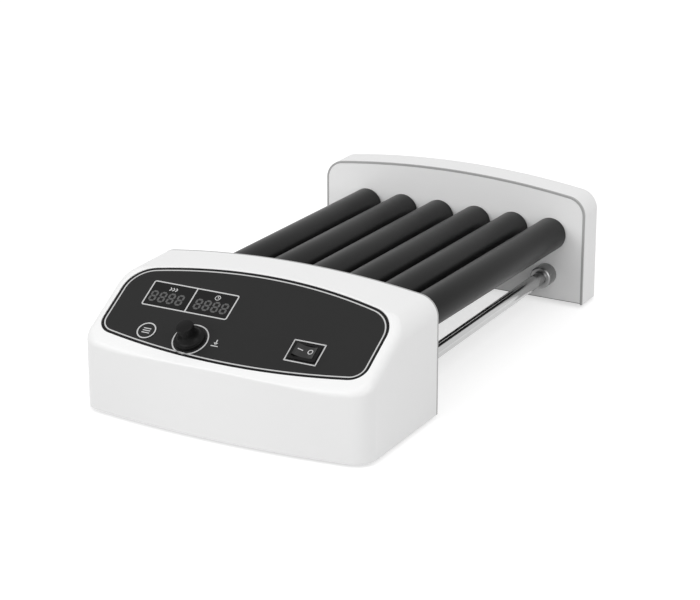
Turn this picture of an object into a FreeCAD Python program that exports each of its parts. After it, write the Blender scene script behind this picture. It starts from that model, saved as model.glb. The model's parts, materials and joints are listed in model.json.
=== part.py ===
"""Bench roller mixer: six driven rollers between two heads that rock while they turn.

The origin is on the surface that the feet stand on, under the middle of the mixer.
+X is to the right of a person at the control panel, +Y away from them and +Z up.
"""
import FreeCAD, Part
import math
import os

V = FreeCAD.Vector
X = V(1, 0, 0)
Y = V(0, 1, 0)
Z = V(0, 0, 1)

# The two heads
head_width = 263.0
side_height = 98.7
arch_rise = 10.4
top_corner_radius = 17.6
cover_lift = 3.0
wall = 2.5
front_depth = 131.5
front_bow = 11.0
front_corner_radius = 18.0
rear_depth = 35.0
rear_edge_radius = 8.0
head_edge_radius = 9.0
plate_thickness = 2.0
seal_width = 1.8
seal_gap = 0.1
base_thickness = 1.5
base_gap = 0.4

# The control panel
front_face_height = 54.5
plateau_depth = 37.9
recess_depth = 1.0
overlay_thickness = 0.6
clearance = 0.3
overlay_bottom = 12.1
overlay_margin = 1.3
overlay_side_margin = 9.5
overlay_bottom_sag = 11.7
overlay_top_sag = 17.8
overlay_low_corner = 15.0
overlay_high_corner = 27.0
window_inset = 75.0
window_drop = 38.8
window_size = (78.8, 24.6)
window_thickness = 1.2
window_ledge = 2.5
digit_block_size = (35.0, 15.0, 8.0)
digit_block_pitch = 38.4
button_inset = 53.9
button_rise = 30.5
button_diameter = 17.0
button_travel = 0.6
button_proud = 0.4
button_flange_diameter = 20.0
button_flange = 1.0
button_stem_diameter = 6.0
key_switch_size = (12.0, 12.0, 4.0)
key_plunger_diameter = 5.0
key_plunger_height = 0.5
board_width = 93.0
board_rise = 14.0
board_thickness = 1.6
board_back_gap = 2.2
post_diameter = 7.0
post_nut_diameter = 6.0
encoder_size = (13.0, 13.0, 6.0)
encoder_neck_diameter = 7.0
encoder_bore_in_cover = 10.5
rotor_diameter = 10.0
rotor_height = 3.0
rotor_floor = 2.0
encoder_shaft_diameter = 5.0
knob_inset = 95.2
knob_rise = 30.4
knob_skirt_diameter = 25.0
knob_top_diameter = 14.6
knob_height = 16.0
knob_skirt_height = 2.6
knob_flare_height = 7.0
knob_flare_inset = 1.0
knob_chamfer = 1.0
knob_travel = 0.5
switch_inset = 67.6
switch_rise = 39.4
bezel_size = (25.0, 17.6, 1.6)
bezel_corner = 1.5
switch_case_size = (21.6, 14.4, 19.0)
rocker_size = (18.0, 11.6)
rocker_pocket_depth = 9.0
rocker_axis_depth = 4.2
rocker_end_rise = 5.7
rocker_saddle_rise = 3.6
rocker_keel = 2.5
rocker_shoulder_inset = 1.35
rocker_end_inset = 0.2
rocker_tip = 7.0
rocker_pin_diameter = 2.0
rocker_pin_seat = 0.6
terminal_size = (0.8, 4.8, 8.0)
terminal_pitch = 5.0

# The rollers
roller_count = 6
roller_pitch = 37.5
roller_diameter = 30.0
roller_bore = 24.0
roller_span = 292.5
bank_offset = 5.5
roller_axis_height = 66.7
roller_front_gap = 2.0
roller_rear_gap = 0.8
rock_half_angle = 1.5
journal_diameter = 8.0
journal_standout = 2.0
running_clearance = 0.05
plug_length = 16.0
bush_radial_gap = 0.4
bush_outer_diameter = 14.0
bush_flange_diameter = 19.0
bush_flange = 1.5
bush_length = 6.0

# The drive inside the front head
slot_width = 12.0
slot_margin = 2.0
carrier_gap = 13.0
carrier_thickness = 8.0
carrier_above = 17.0
carrier_below = 24.0
carrier_end = 19.0
bearing_outer = 22.0
bearing_width = 7.0
pulley_diameter = 22.0
belt_diameter = 3.0
belt_gap = 0.3
belt_radius = 9.8
belt_spacing = 6.0
pulley_margin = 3.5
pulley_gap = 3.5
motor_drop = 30.0
motor_diameter = 32.0
motor_length = 44.0
motor_shaft_diameter = 6.0
motor_boss_diameter = 12.0
motor_can_step = 3.0
gearbox_length = 16.0
motor_shaft_depth = 6.0
bracket_size = (62.0, 36.0, 2.5)
bracket_gap = 3.0
standoff_diameter = 6.0
standoff_spread = 24.0
standoff_drop = 19.7
crank_thickness = 4.0
crank_rim = 1.8
crank_pin_diameter = 5.0
crank_pin_gap = 0.5
crank_pin_length = 3.0
guide_thickness = 2.5
guide_gap = 3.0
guide_border = 5.0
guide_foot = 14.0

# The tie rods and the fasteners
rod_diameter = 12.0
rod_inset = 35.6
rod_height = 27.9
collar_diameter = 20.0
collar_length = 15.0
collar_chamfer = 1.0
rod_thread = 6.0
rod_thread_depth = 14.0
rod_screw_length = 14.0
rod_screw_head = 10.0
rod_screw_head_height = 4.0
plate_flange = 14.0
flange_screw_pitch = 65.0
inlet_x = -66.0
inlet_height = 19.0
inlet_diameter = 11.0
inlet_rim_diameter = 14.0
inlet_rim = 1.2
inlet_length = 14.0
socket_diameter = 5.6
socket_pin_diameter = 2.0
socket_depth = 9.6
foot_diameter = 18.0
foot_inset = 24.0
foot_edge = 0.8
foot_recess = 1.4
foot_screw = 4.0
nut_across = 7.0
nut_height = 2.4
nut_standout = 0.8
cover_screw = 3.0
small_head = 6.0
small_head_height = 1.6
boss_diameter = 9.0
boss_height = 14.0

# What follows from the sizes above
half_width = head_width / 2
total_length = front_depth + roller_span + rear_depth
front_y = -total_length / 2
front_plate_y = front_y + front_depth
rear_plate_y = front_plate_y + roller_span
rear_y = rear_plate_y + rear_depth
crest_z = cover_lift + side_height + arch_rise
pivot = V(0, rear_plate_y + plate_thickness / 2, roller_axis_height)
roller_x = [bank_offset + (i - (roller_count - 1) / 2) * roller_pitch for i in range(roller_count)]
roller_front = front_plate_y + roller_front_gap
roller_rear = rear_plate_y - roller_rear_gap
roller_length = roller_rear - roller_front
base_top = cover_lift + base_gap + base_thickness
rod_x = half_width - rod_inset
panel_run = front_depth - plateau_depth
panel_rise = side_height + arch_rise - front_face_height
slope = math.atan2(panel_rise, panel_run)
panel_normal = V(0, -math.sin(slope), math.cos(slope))
panel_up = V(0, math.cos(slope), math.sin(slope))
panel_foot = V(0, front_y, cover_lift + front_face_height)
overlay_top = math.hypot(panel_run, panel_rise) - overlay_margin
overlay_half = half_width - overlay_side_margin
window_place = (window_inset - half_width, overlay_top - window_drop)
button_place = (button_inset - half_width, button_rise)
knob_place = (knob_inset - half_width, knob_rise)
switch_place = (half_width - switch_inset, switch_rise)
cover_start = front_plate_y - plate_thickness
bar_front = cover_start - carrier_gap - carrier_thickness
pulley_length = 2 * pulley_margin + 2 * belt_spacing
pulley_rear = bar_front - pulley_gap
pulley_front = pulley_rear - pulley_length


os.makedirs("parts", exist_ok=True)


def save(name, *solids):
    """Write one node; several pieces in it stay separate solids."""
    shape = solids[0] if len(solids) == 1 else Part.makeCompound(list(solids))
    shape.exportStep("parts/" + name + ".step")
    print(name, len(shape.Solids), round(shape.Volume, 1), shape.isValid())


def cylinder(diameter, length, start, direction=Y):
    return Part.makeCylinder(diameter / 2, length, start, direction)


def tube(outer, inner, length, start, direction=Y):
    return cylinder(outer, length, start, direction).cut(cylinder(inner, length, start, direction))


def block(x, y, z):
    """A box from the low and high limits on each axis."""
    return Part.makeBox(x[1] - x[0], y[1] - y[0], z[1] - z[0], V(x[0], y[0], z[0]))


def turned(points, start, direction=Y):
    """A solid of revolution from (distance along the axis, radius) points."""
    profile = Part.makePolygon([V(r, 0, a) for a, r in points] + [V(points[0][1], 0, points[0][0])])
    solid = Part.Face(profile).revolve(V(0, 0, 0), Z, 360)
    solid.Placement = FreeCAD.Placement(start, FreeCAD.Rotation(Z, direction))
    return solid


def arched_face(base, crest, rise, corner, inset, place):
    """A face with straight sides and a bowed top; place(u, v) sets it in space."""
    radius = (half_width ** 2 + rise ** 2) / (2 * rise)
    centre = crest - radius
    corner_u = half_width - corner
    corner_v = centre + math.sqrt((radius - corner) ** 2 - corner_u ** 2)
    side = half_width - inset
    bow = radius - inset
    bend = corner - inset
    lean = math.atan2(corner_v - centre, corner_u)
    mid = lean / 2
    side_end = (side, corner_v)
    corner_mid = (corner_u + bend * math.cos(mid), corner_v + bend * math.sin(mid))
    bow_end = (bow * math.cos(lean), centre + bow * math.sin(lean))

    def at(point, sign=1):
        return place(sign * point[0], point[1])

    edges = [
        Part.makeLine(place(-side, base), place(side, base)),
        Part.makeLine(place(side, base), at(side_end)),
        Part.Arc(at(side_end), at(corner_mid), at(bow_end)).toShape(),
        Part.Arc(at(bow_end), place(0, centre + bow), at(bow_end, -1)).toShape(),
        Part.Arc(at(bow_end, -1), at(corner_mid, -1), at(side_end, -1)).toShape(),
        Part.makeLine(at(side_end, -1), place(-side, base)),
    ]
    return Part.Face(Part.Wire(edges))


def arch(inset, start, length, low=cover_lift):
    """The head's front outline, drawn in by inset and carried along Y."""
    face = arched_face(low, crest_z, arch_rise, top_corner_radius, inset, lambda u, v: V(u, start, v))
    return face.extrude(Y * length)


def front_plan(inset, back, low, height):
    """The front head seen from above, drawn in by inset, as an upright prism."""
    face = arched_face(back, -front_y, front_bow, front_corner_radius, inset, lambda u, v: V(u, -v, low))
    return face.extrude(Z * height)


def panel_point(x, up, out=0.0):
    """A point on the panel: x across, up the slope from the front face, out along its normal."""
    return panel_foot + X * x + panel_up * up + panel_normal * out


def on_panel(shape, x, up, out=0.0):
    """Move a shape from the XY plane to the panel: its +Y goes up the slope, its +Z outwards."""
    moved = shape.copy()
    turn = FreeCAD.Rotation(X, math.degrees(slope))
    moved.Placement = FreeCAD.Placement(panel_point(x, up, out), turn).multiply(moved.Placement)
    return moved


def above_panel(depth):
    """Everything over the panel's plane, which may lie below the surface by depth."""
    reach = total_length
    slab = Part.makeBox(2 * reach, 2 * reach, reach, V(-reach, -reach, 0))
    return on_panel(slab, 0, 0, -depth)


def centred_box(size, low=0.0):
    return Part.makeBox(size[0], size[1], size[2], V(-size[0] / 2, -size[1] / 2, low))


def rounded_box(size, radius, low=0.0):
    solid = centred_box(size, low)
    upright = [e for e in solid.Edges if abs(e.BoundBox.ZLength - size[2]) < 1e-6]
    return solid.makeFillet(radius, upright)


def rocked(shape):
    """Tip a level piece to its place at the top of the stroke, front end up."""
    moved = shape.copy()
    moved.rotate(pivot, X, -rock_half_angle)
    return moved


def stroke_at(y):
    """How far the bank moves up and down at a place along the mixer."""
    return 2 * abs(pivot.y - y) * math.tan(math.radians(rock_half_angle))


def screw(start, direction, thread, length, head, head_height):
    """A cap screw: start is under its head, and the shank runs along direction."""
    shank = cylinder(thread, length, start, direction)
    return shank.fuse(cylinder(head, head_height, start - direction * head_height, direction))


# Front cover: an arched shell with a sloped, recessed panel and an open back
over_height = crest_z * 2


def front_block(inset, panel_drop, low):
    body = arch(inset, front_y, cover_start - front_y, low)
    body = body.common(front_plan(inset, -cover_start, low, over_height))
    return body.cut(above_panel(panel_drop))


def overlay_face(inset, thickness, out):
    """The panel's outline: bowed top and bottom edges, straight sides and round corners."""
    low_side = overlay_bottom + overlay_bottom_sag + inset
    high_side = overlay_top - overlay_top_sag - inset
    half = overlay_half - inset
    bottom = [V(-half, low_side, 0), V(0, overlay_bottom + inset, 0), V(half, low_side, 0)]
    top = [V(half, high_side, 0), V(0, overlay_top - inset, 0), V(-half, high_side, 0)]
    edges = [
        Part.Arc(*bottom).toShape(),
        Part.makeLine(bottom[2], top[0]),
        Part.Arc(*top).toShape(),
        Part.makeLine(top[2], bottom[0]),
    ]
    solid = Part.Face(Part.Wire(edges)).extrude(Z * thickness)
    for radius, side in ((overlay_low_corner, low_side), (overlay_high_corner, high_side)):
        corners = [
            e for e in solid.Edges
            if abs(e.BoundBox.ZLength - thickness) < 1e-6 and abs(e.BoundBox.Center.y - side) < 1e-6
        ]
        solid = solid.makeFillet(radius - inset, corners)
    return on_panel(solid, 0, 0, out)


def rim_edges(solid):
    """The closed run of edges around the sloped panel face."""
    face = max(
        (f for f in solid.Faces if abs(f.normalAt(0, 0).dot(panel_normal) - 1) < 1e-6),
        key=lambda f: f.Area,
    )
    return face.OuterWire.Edges


def cover_boss(x, y, height):
    """A screw boss that grows out of the side wall near the cover's foot."""
    low = base_top
    post = cylinder(boss_diameter, height, V(x, y, low), Z)
    reach = half_width - wall / 2
    web = block(
        (min(x, math.copysign(reach, x)), max(x, math.copysign(reach, x))),
        (y - boss_diameter / 4, y + boss_diameter / 4),
        (low, low + height),
    )
    drill = cylinder(cover_screw, height - wall, V(x, y, low), Z)
    return post.fuse(web).cut(drill)


boss_x = half_width - wall - boss_diameter
front_boss_y = [cover_start - 2 * boss_diameter, front_y + front_corner_radius + 3 * boss_diameter]
rear_boss_y = [rear_y - wall - boss_diameter]

shell = front_block(0, 0, cover_lift)
shell = shell.makeFillet(head_edge_radius, rim_edges(shell))
hollow = arch(wall, front_y, cover_start - front_y, cover_lift - wall)
hollow = hollow.common(front_plan(wall, -cover_start, cover_lift - wall, over_height))
hollow = hollow.cut(above_panel(wall))
hollow = hollow.makeFillet(head_edge_radius - wall, rim_edges(hollow))
shell = shell.cut(hollow)
shell = shell.cut(overlay_face(-clearance, wall, -recess_depth))
digit_well = (window_size[0] - 2 * window_ledge, window_size[1] - 2 * window_ledge, 3 * wall)
switch_hole = (switch_case_size[0] + clearance, switch_case_size[1] + clearance, 4 * wall)
button_hole = button_diameter + 2 * clearance
shell = shell.cut(on_panel(centred_box(digit_well, -2 * wall), *window_place))
for place, diameter in ((button_place, button_hole), (knob_place, encoder_bore_in_cover)):
    shell = shell.cut(on_panel(cylinder(diameter, 3 * wall, V(0, 0, -2 * wall), Z), *place))
shell = shell.cut(on_panel(centred_box(switch_hole, -2 * wall), *switch_place))
for side in (-1, 1):
    for y in front_boss_y:
        shell = shell.fuse(cover_boss(side * boss_x, y, boss_height))
save("front_cover", shell.removeSplitter())

# Control panel: overlay, window, digits, board and posts
overlay = overlay_face(0, overlay_thickness, -recess_depth)
window_opening = (window_size[0], window_size[1], 3 * wall)
overlay = overlay.cut(on_panel(centred_box(window_opening, -wall), *window_place))
for place, diameter in ((button_place, button_hole), (knob_place, encoder_bore_in_cover)):
    overlay = overlay.cut(on_panel(cylinder(diameter, 3 * wall, V(0, 0, -wall), Z), *place))
overlay = overlay.cut(on_panel(centred_box(switch_hole, -2 * wall), *switch_place))
save("control_overlay", overlay)

pane_size = (window_size[0] - 2 * seal_gap, window_size[1] - 2 * seal_gap, overlay_thickness)
lens_size = (digit_well[0] - 2 * seal_gap, digit_well[1] - 2 * seal_gap, window_thickness)
pane = on_panel(centred_box(pane_size), *window_place, -recess_depth)
lens = on_panel(centred_box(lens_size, -window_thickness), *window_place, -recess_depth)
save("display_window", pane.fuse(lens).removeSplitter())

digit_top = -recess_depth - window_thickness - clearance
board_top = digit_top - digit_block_size[2]
digits = []
for side in (-1, 1):
    body = centred_box(digit_block_size, -digit_block_size[2])
    x = window_place[0] + side * digit_block_pitch / 2
    digits.append(on_panel(body, x, window_place[1], digit_top))
save("display_digits", *digits)

board_reach = pulley_front - board_back_gap - front_y
board_high = (board_reach + (board_top - board_thickness) * math.sin(slope)) / math.cos(slope)
board_x = (window_place[0] - board_width / 2, window_place[0] + board_width / 2)
board = block(board_x, (board_rise, board_high), (-board_thickness, 0))
post_inset = boss_diameter / 2
post_places = [
    (x, up)
    for x in (board_x[0] + post_inset, board_x[1] - post_inset)
    for up in (board_rise + post_inset, board_high - post_inset)
]
for x, up in post_places:
    board = board.cut(cylinder(cover_screw, 3 * board_thickness, V(x, up, -2 * board_thickness), Z))
save("control_board", on_panel(board, 0, 0, board_top))
posts = []
for x, up in post_places:
    post = cylinder(post_diameter, -wall - board_top, V(0, 0, 0), Z)
    stem = cylinder(cover_screw, 2 * board_thickness, V(0, 0, -2 * board_thickness), Z)
    nut = cylinder(post_nut_diameter, board_thickness, V(0, 0, -2 * board_thickness), Z)
    posts.append(on_panel(post.fuse(stem).fuse(nut).removeSplitter(), x, up, board_top))
save("board_posts", *posts)

# Mode button: a flanged plunger over its key switch
overlay_top_out = overlay_thickness - recess_depth
button_top = overlay_top_out + button_proud
flange_top = -wall - clearance
flange_low = flange_top - button_flange
key_top = board_top + key_switch_size[2] + key_plunger_height
button = cylinder(button_diameter, button_top - flange_top, V(0, 0, flange_top), Z)
button = button.fuse(cylinder(button_flange_diameter, button_flange, V(0, 0, flange_low), Z))
stem_low = key_top + button_travel + seal_gap
button = button.fuse(cylinder(button_stem_diameter, flange_low - stem_low, V(0, 0, stem_low), Z))
save("mode_button", on_panel(button.removeSplitter(), *button_place))
key = centred_box(key_switch_size)
key = key.fuse(cylinder(key_plunger_diameter, key_plunger_height, V(0, 0, key_switch_size[2]), Z))
save("key_switch", on_panel(key, *button_place, board_top))

# Push encoder: body, the disc that turns in it, the shaft that also slides, and the knob
neck_top = -recess_depth - board_top
chamber_floor = rotor_floor - clearance
shaft_bore = encoder_shaft_diameter + 2 * running_clearance
chamber_diameter = rotor_diameter + 2 * clearance
chamber_height = rotor_height + 2 * clearance
encoder_neck = neck_top - encoder_size[2]
encoder = centred_box(encoder_size)
encoder = encoder.fuse(cylinder(encoder_neck_diameter, encoder_neck, V(0, 0, encoder_size[2]), Z))
encoder = encoder.cut(cylinder(chamber_diameter, chamber_height, V(0, 0, chamber_floor), Z))
encoder = encoder.cut(cylinder(shaft_bore, neck_top, V(0, 0, chamber_floor), Z))
save("encoder_body", on_panel(encoder.removeSplitter(), *knob_place, board_top))
rotor = tube(rotor_diameter, shaft_bore, rotor_height, V(0, 0, rotor_floor), Z)
save("encoder_rotor", on_panel(rotor, *knob_place, board_top))
knob_low = overlay_top_out + knob_travel + clearance
shaft_low = rotor_floor + knob_travel
shaft_high = knob_low + knob_height / 2 - board_top
shaft = cylinder(encoder_shaft_diameter, shaft_high - shaft_low, V(0, 0, shaft_low), Z)
save("encoder_shaft", on_panel(shaft, *knob_place, board_top))
skirt = knob_skirt_diameter / 2
grip = knob_top_diameter / 2
flare_foot = skirt - knob_flare_inset
flare_top = knob_skirt_height + knob_flare_height
flare_mid = V(
    grip + (flare_foot - grip) * (1 - math.sqrt(0.5)),
    0,
    knob_skirt_height + knob_flare_height * (1 - math.sqrt(0.5)),
)
knob_edges = [
    Part.makePolygon([
        V(grip, 0, flare_top),
        V(grip, 0, knob_height - knob_chamfer),
        V(grip - knob_chamfer, 0, knob_height),
        V(0, 0, knob_height),
        V(0, 0, 0),
        V(skirt, 0, 0),
        V(skirt, 0, knob_skirt_height),
        V(flare_foot, 0, knob_skirt_height),
    ]),
    Part.Arc(V(flare_foot, 0, knob_skirt_height), flare_mid, V(grip, 0, flare_top)).toShape(),
]
knob = Part.Face(Part.Wire([e for part in knob_edges for e in part.Edges])).revolve(V(0, 0, 0), Z, 360)
knob = knob.cut(cylinder(encoder_shaft_diameter, knob_height / 2, V(0, 0, 0), Z))
save("control_knob", on_panel(knob, *knob_place, knob_low))

# Power switch: a bezel and case with a rocker on its pin
bezel_low = overlay_top_out
bezel_top = bezel_low + bezel_size[2]
case = rounded_box(bezel_size, bezel_corner, bezel_low)
case = case.fuse(centred_box(switch_case_size, bezel_low - switch_case_size[2]))
pocket_size = (rocker_size[0] + 2 * clearance, rocker_size[1] + 2 * clearance, rocker_pocket_depth)
case = case.cut(centred_box(pocket_size, bezel_top - rocker_pocket_depth))
rocker_axis = bezel_top - rocker_axis_depth
pin_length = pocket_size[1] + 2 * rocker_pin_seat
pin = cylinder(rocker_pin_diameter, pin_length, V(0, -pin_length / 2, rocker_axis), Y)
case = case.cut(pin)
terminal_low = bezel_low - switch_case_size[2] - terminal_size[2]
terminals = [
    centred_box(terminal_size, terminal_low).translated(X * (k * terminal_pitch))
    for k in (-1, 0, 1)
]
switch_pieces = [case.removeSplitter(), *terminals]
save("power_switch_body", *[on_panel(piece, *switch_place) for piece in switch_pieces])
save("switch_pin", on_panel(pin, *switch_place))
rocker_shoulder = V(rocker_size[0] / 2 - rocker_shoulder_inset, 0, 0)
rocker_end = V(rocker_size[0] / 2 - rocker_end_inset, 0, rocker_end_rise)
keel_end = V(rocker_keel, 0, -rocker_keel)


def mirrored(point):
    return V(-point.x, point.y, point.z)


rocker_edges = [
    Part.Arc(mirrored(rocker_end), V(0, 0, rocker_saddle_rise), rocker_end).toShape(),
    Part.makeLine(rocker_end, rocker_shoulder),
    Part.makeLine(rocker_shoulder, keel_end),
    Part.makeLine(keel_end, mirrored(keel_end)),
    Part.makeLine(mirrored(keel_end), mirrored(rocker_shoulder)),
    Part.makeLine(mirrored(rocker_shoulder), mirrored(rocker_end)),
]
rocker = Part.Face(Part.Wire(rocker_edges)).extrude(Y * rocker_size[1])
rocker.translate(Y * (-rocker_size[1] / 2))
pin_bore = rocker_pin_diameter + 2 * running_clearance
rocker = rocker.cut(cylinder(pin_bore, rocker_size[1], V(0, -rocker_size[1] / 2, 0), Y))
rocker.rotate(V(0, 0, 0), Y, rocker_tip)
save("switch_rocker", on_panel(rocker, *switch_place, rocker_axis))

# End plates: formed sheets with the rod holes and a foot flange
plate_inset = seal_width + seal_gap


def end_plate(start, inward):
    """A plate whose foot turns inwards over the base; inward is the way along Y."""
    plate = arch(plate_inset, start, plate_thickness, base_top)
    foot_start = start + plate_thickness if inward > 0 else start - plate_flange
    flange_half = half_width - wall - 2 * boss_diameter - 2 * base_gap
    flange = block(
        (-flange_half, flange_half),
        (foot_start, foot_start + plate_flange),
        (base_top, base_top + plate_thickness),
    )
    plate = plate.fuse(flange)
    for side in (-1, 1):
        hole = cylinder(rod_thread + base_gap, plate_thickness, V(side * rod_x, start, rod_height))
        plate = plate.cut(hole)
    return plate


def slotted(plate, x, y, width, height, z):
    """Cut an upright slot with round ends through a plate that faces along Y."""
    run = height - width
    slot = block((x - width / 2, x + width / 2), (y, y + plate_thickness), (z - run / 2, z + run / 2))
    for end in (-1, 1):
        slot = slot.fuse(cylinder(width, plate_thickness, V(x, y, z + end * run / 2), Y))
    return plate.cut(slot)


flange_screw_x = [k * flange_screw_pitch for k in (-1, 0, 1)]
front_plate = end_plate(cover_start, -1)
slot_height = stroke_at(cover_start) + journal_diameter + 2 * slot_margin
for x in roller_x:
    front_plate = slotted(front_plate, x, cover_start, slot_width, slot_height, roller_axis_height)
inlet_hole = cylinder(inlet_diameter, plate_thickness, V(inlet_x, cover_start, inlet_height))
front_plate = front_plate.cut(inlet_hole)
rear_plate = end_plate(rear_plate_y, 1)
for x in roller_x:
    rear_plate = rear_plate.cut(
        cylinder(bush_outer_diameter, plate_thickness, V(x, rear_plate_y, roller_axis_height), Y)
    )


def seal(start):
    """The dark strip round the plate's edge, open at the foot."""
    ring = arch(0, start, plate_thickness).cut(arch(seal_width, start, plate_thickness, 0))
    return ring


save("front_seal", seal(cover_start))
save("rear_seal", seal(rear_plate_y))

# Bases: sheet pans under the heads, with the feet and their screws
base_hole = cover_screw + base_gap


def cut_holes(base, places, diameter):
    for x, y in places:
        base = base.cut(cylinder(diameter, base_thickness * 2, V(x, y, cover_lift), Z))
    return base


base_low = cover_lift + base_gap
front_base = front_plan(wall + base_gap, -cover_start, base_low, base_thickness)
rear_start = rear_plate_y + plate_thickness
rear_base_back = rear_y - wall - base_gap
rear_base = block(
    (-half_width + wall + base_gap, half_width - wall - base_gap),
    (rear_start, rear_base_back),
    (base_low, base_top),
)
back_corners = [
    e for e in rear_base.Edges
    if e.BoundBox.YMin > rear_base_back - 1e-3 and e.BoundBox.XLength < 1e-3
]
rear_base = rear_base.makeFillet(rear_edge_radius - wall - base_gap, back_corners)
foot_x = half_width - foot_inset
foot_front_y = front_y + front_corner_radius + foot_inset
foot_places = [(-foot_x, foot_front_y), (foot_x, foot_front_y)]
rear_foot_y = rear_y - wall - 2 * base_gap - foot_diameter / 2
rear_foot_places = [(-foot_x, rear_foot_y), (foot_x, rear_foot_y)]
front_boss_places = [(side * boss_x, y) for side in (-1, 1) for y in front_boss_y]
rear_boss_places = [(side * boss_x, y) for side in (-1, 1) for y in rear_boss_y]
front_flange_places = [(x, cover_start - plate_flange / 2) for x in flange_screw_x]
rear_flange_places = [(x, rear_start + plate_flange / 2) for x in flange_screw_x]
front_base = cut_holes(front_base, front_boss_places + front_flange_places, base_hole)
front_base = cut_holes(front_base, foot_places, foot_screw + base_gap)
rear_base = cut_holes(rear_base, rear_boss_places + rear_flange_places, base_hole)
rear_base = cut_holes(rear_base, rear_foot_places, foot_screw + base_gap)
for x, y in front_flange_places:
    front_plate = front_plate.cut(cylinder(base_hole, plate_thickness * 2, V(x, y, base_top), Z))
for x, y in rear_flange_places:
    rear_plate = rear_plate.cut(cylinder(base_hole, plate_thickness * 2, V(x, y, base_top), Z))
save("front_end_plate", front_plate.removeSplitter())
save("rear_end_plate", rear_plate.removeSplitter())

# Rear cover: a shallow arched shell with rounded back edges
rear_length = rear_y - rear_start
rear_shell = arch(0, rear_start, rear_length)
back_edges = [
    e for e in rear_shell.Edges
    if e.BoundBox.YMin > rear_y - 1e-3 and e.BoundBox.ZMax > cover_lift + 1e-3
]
rear_shell = rear_shell.makeFillet(rear_edge_radius, back_edges)
rear_hollow = arch(wall, rear_start, rear_length - wall, cover_lift - wall)
inner_edges = [
    e for e in rear_hollow.Edges
    if e.BoundBox.YMin > rear_y - wall - 1e-3 and e.BoundBox.ZMax > cover_lift
]
rear_hollow = rear_hollow.makeFillet(rear_edge_radius - wall, inner_edges)
rear_shell = rear_shell.cut(rear_hollow)
for x, y in rear_boss_places:
    rear_shell = rear_shell.fuse(cover_boss(x, y, boss_height))
save("rear_cover", rear_shell.removeSplitter())

# Feet, with their screws and the screws that close the heads
feet = []
foot_screws = []
foot_radius = foot_diameter / 2
screw_radius = foot_screw / 2
for x, y in foot_places + rear_foot_places:
    feet.append(turned(
        [
            (0, screw_radius + foot_edge),
            (0, foot_radius - foot_edge),
            (foot_edge, foot_radius),
            (base_low, foot_radius),
            (base_low, screw_radius),
            (foot_recess, screw_radius),
            (foot_recess, screw_radius + foot_edge),
        ],
        V(x, y, 0),
        Z,
    ))
    shank_length = base_top + nut_height + nut_standout - foot_recess
    shank = cylinder(foot_screw, shank_length, V(x, y, foot_recess), Z)
    foot_screws.append(shank.fuse(cylinder(nut_across, nut_height, V(x, y, base_top), Z)).removeSplitter())
save("feet", *feet)
save("foot_screws", *foot_screws)
save("front_base", front_base)
save("rear_base", rear_base)
boss_screw_length = base_thickness + boss_height - 2 * wall
cover_screws = [
    screw(V(x, y, base_low), Z, cover_screw, boss_screw_length, small_head, small_head_height)
    for x, y in front_boss_places + rear_boss_places
]
save("cover_screws", *cover_screws)
plate_screws = []
for x, y in front_flange_places + rear_flange_places:
    grip_length = base_thickness + plate_thickness
    shank_length = grip_length + nut_height + nut_standout
    body = screw(V(x, y, base_low), Z, cover_screw, shank_length, small_head, small_head_height)
    nut = cylinder(nut_across, nut_height, V(x, y, base_low + grip_length), Z)
    plate_screws.append(body.fuse(nut).removeSplitter())
save("plate_screws", *plate_screws)

# Tie rods between the plates, with their collars and end screws
rods = []
collars = []
rod_screws = []
for side in (-1, 1):
    rod = cylinder(rod_diameter, roller_span, V(side * rod_x, front_plate_y, rod_height))
    for start in (front_plate_y, rear_plate_y - rod_thread_depth):
        rod = rod.cut(cylinder(rod_thread, rod_thread_depth, V(side * rod_x, start, rod_height)))
    rods.append(rod)
    for start, inward in ((front_plate_y, Y), (rear_plate_y, -Y)):
        collars.append(turned(
            [
                (0, rod_diameter / 2),
                (0, collar_diameter / 2),
                (collar_length - collar_chamfer, collar_diameter / 2),
                (collar_length, collar_diameter / 2 - collar_chamfer),
                (collar_length, rod_diameter / 2),
            ],
            V(side * rod_x, start, rod_height),
            inward,
        ))
    for start, inward in ((cover_start, Y), (rear_start, -Y)):
        head = V(side * rod_x, start, rod_height)
        rod_screws.append(
            screw(head, inward, rod_thread, rod_screw_length, rod_screw_head, rod_screw_head_height)
        )
save("tie_rods", *rods)
save("rod_collars", *collars)
save("rod_screws", *rod_screws)

# Power inlet on the back of the front head
inlet_mouth = front_plate_y + inlet_rim
inlet = cylinder(inlet_diameter, inlet_length, V(inlet_x, inlet_mouth - inlet_length, inlet_height))
inlet = inlet.fuse(cylinder(inlet_rim_diameter, inlet_rim, V(inlet_x, front_plate_y, inlet_height)))
inlet_nut = cylinder(inlet_rim_diameter, nut_height, V(inlet_x, cover_start - nut_height, inlet_height))
inlet = inlet.fuse(inlet_nut)
socket_back = V(inlet_x, inlet_mouth - socket_depth, inlet_height)
inlet = inlet.cut(cylinder(socket_diameter, socket_depth, socket_back))
inlet_pin = cylinder(socket_pin_diameter, socket_depth, socket_back)
save("power_inlet", inlet.removeSplitter(), inlet_pin)

# Rear bushes that let the journals rock
bushes = []
for x in roller_x:
    centre = V(x, rear_plate_y, roller_axis_height)
    bush = cylinder(bush_outer_diameter, bush_length, centre)
    bush = bush.fuse(cylinder(bush_flange_diameter, bush_flange, centre + Y * plate_thickness))
    bush = bush.cut(cylinder(journal_diameter + 2 * bush_radial_gap, bush_length, centre))
    bushes.append(bush.removeSplitter())
save("rear_bushes", *bushes)

# Rollers: rubber-covered tube, shaft with end plugs, and belt pulley
groove_y = [pulley_rear - pulley_margin - k * belt_spacing for k in range(3)]
shaft_front = pulley_front - journal_standout
shaft_rear = rear_plate_y + bush_length


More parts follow.
